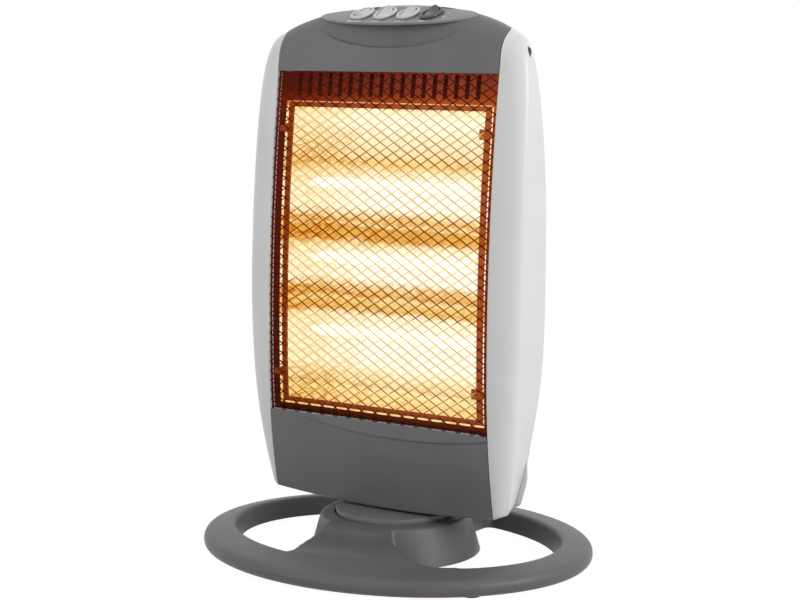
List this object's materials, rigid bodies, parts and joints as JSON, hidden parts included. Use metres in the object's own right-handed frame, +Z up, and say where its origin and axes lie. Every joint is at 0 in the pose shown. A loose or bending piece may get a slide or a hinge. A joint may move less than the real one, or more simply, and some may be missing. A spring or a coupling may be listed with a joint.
{
  "type": "halogen heater",
  "caption": "Upright halogen heater with curved housing, wire grille over quartz tubes and a reflector, top rocker switches, and an oval swivelling foot.",
  "frame": {"origin": "on the floor under the swivel axis, at the middle of the oval foot", "axes": "+Z up, +X to the object's right as seen from the front, -Y towards the viewer of the glowing front"},
  "size_m": [0.37, 0.304, 0.4866],
  "materials": {
    "grey_housing": "fine matt, moulded",
    "white_shell": "satin gloss, moulded",
    "control_plate": "satin",
    "switch_light": "semi gloss",
    "switch_dark": "semi gloss",
    "grille_wire": "baked dark brown coating",
    "reflector_sheet": "polished, lit by the tubes",
    "lamp_quartz": "clear quartz, glowing when lit",
    "lamp_ceramic": null,
    "steel_parts": "zinc plated",
    "black_plastic": "matt",
    "white_inner": "unpolished nylon",
    "rubber_feet": "matt"
  },
  "bodies": {
    "base": {"base_shell": "grey_housing", "foot_pad_right_rear": "rubber_feet", "foot_pad_left_rear": "rubber_feet", "foot_pad_left_front": "rubber_feet", "foot_pad_right_front": "rubber_feet", "base_plate_screw_1": "steel_parts", "base_plate_screw_2": "steel_parts", "base_plate_screw_3": "steel_parts", "base_plate_screw_4": "steel_parts", "base_bottom_plate": "black_plastic", "swivel_bush": "white_inner", "oscillation_motor": "steel_parts", "motor_screw_left": "steel_parts", "motor_screw_right": "steel_parts"},
    "crank": {"motor_crank": "white_inner"},
    "heater": {"turntable_disc": "grey_housing", "swivel_retainer": "steel_parts", "crank_yoke": "steel_parts", "spindle_screw": "steel_parts", "right_side_shell": "white_shell", "right_shell_screw": "steel_parts", "left_side_shell": "white_shell", "left_shell_screw": "steel_parts", "front_upper_panel": "grey_housing", "front_lower_panel": "grey_housing", "chassis_floor": "steel_parts", "cord_gland": "black_plastic", "rear_cover_screw_1": "steel_parts", "rear_cover_screw_2": "steel_parts", "rear_cover_screw_3": "steel_parts", "rear_cover_screw_4": "steel_parts", "rear_cover": "white_shell", "grille": "grille_wire", "reflector": "reflector_sheet", "lamp_bracket_left": "steel_parts", "lamp_bracket_right": "steel_parts", "lamp_1_cap_left": "lamp_ceramic", "lamp_1_cap_right": "lamp_ceramic", "lamp_2_cap_left": "lamp_ceramic", "lamp_2_cap_right": "lamp_ceramic", "lamp_3_cap_left": "lamp_ceramic", "lamp_3_cap_right": "lamp_ceramic", "lamp_tube_1": "lamp_quartz", "lamp_tube_2": "lamp_quartz", "lamp_tube_3": "lamp_quartz", "thermal_cutout": "steel_parts", "switch_body_1": "switch_light", "switch_body_2": "switch_light", "switch_body_3": "switch_light", "switch_body_4": "switch_dark", "control_panel": "control_plate", "tip_switch_case": "black_plastic", "terminal_block": "white_inner"},
    "rocker_1": {"rocker_1": "switch_light"},
    "rocker_2": {"rocker_2": "switch_light"},
    "rocker_3": {"rocker_3": "switch_light"},
    "rocker_4": {"rocker_4": "switch_dark"},
    "tip_weight": {"tip_switch_weight": "steel_parts"}
  },
  "joints": [
    {"name": "body_swivel", "type": "hinge", "parent": "base", "child": "heater", "pos_m": [0, 0, 0.04], "axis": [0, 0, 1], "range_deg": [-30, 30]},
    {"name": "motor_crank_spin", "type": "hinge", "parent": "base", "child": "crank", "pos_m": [0, 0.021, 0.0215], "axis": [0, 0, 1], "range_deg": [-90, 90]},
    {"name": "rocker_1_pivot", "type": "hinge", "parent": "heater", "child": "rocker_1", "pos_m": [-0.0375, 0.00844, 0.4771], "axis": [1, 0, 0], "range_deg": [0, 20]},
    {"name": "rocker_2_pivot", "type": "hinge", "parent": "heater", "child": "rocker_2", "pos_m": [-0.0129, 0.00844, 0.4771], "axis": [1, 0, 0], "range_deg": [-20, 0]},
    {"name": "rocker_3_pivot", "type": "hinge", "parent": "heater", "child": "rocker_3", "pos_m": [0.0117, 0.00844, 0.4771], "axis": [1, 0, 0], "range_deg": [-20, 0]},
    {"name": "rocker_4_pivot", "type": "hinge", "parent": "heater", "child": "rocker_4", "pos_m": [0.0363, 0.00844, 0.4771], "axis": [1, 0, 0], "range_deg": [-20, 0]},
    {"name": "tip_weight_pivot", "type": "hinge", "parent": "heater", "child": "tip_weight", "pos_m": [-0.04, 0.006, 0.07609], "axis": [0, 1, 0], "range_deg": [-15, 15]}
  ],
  "couplings": [
    {"joint": "motor_crank_spin", "follows": "body_swivel", "ratio": 3}
  ]
}
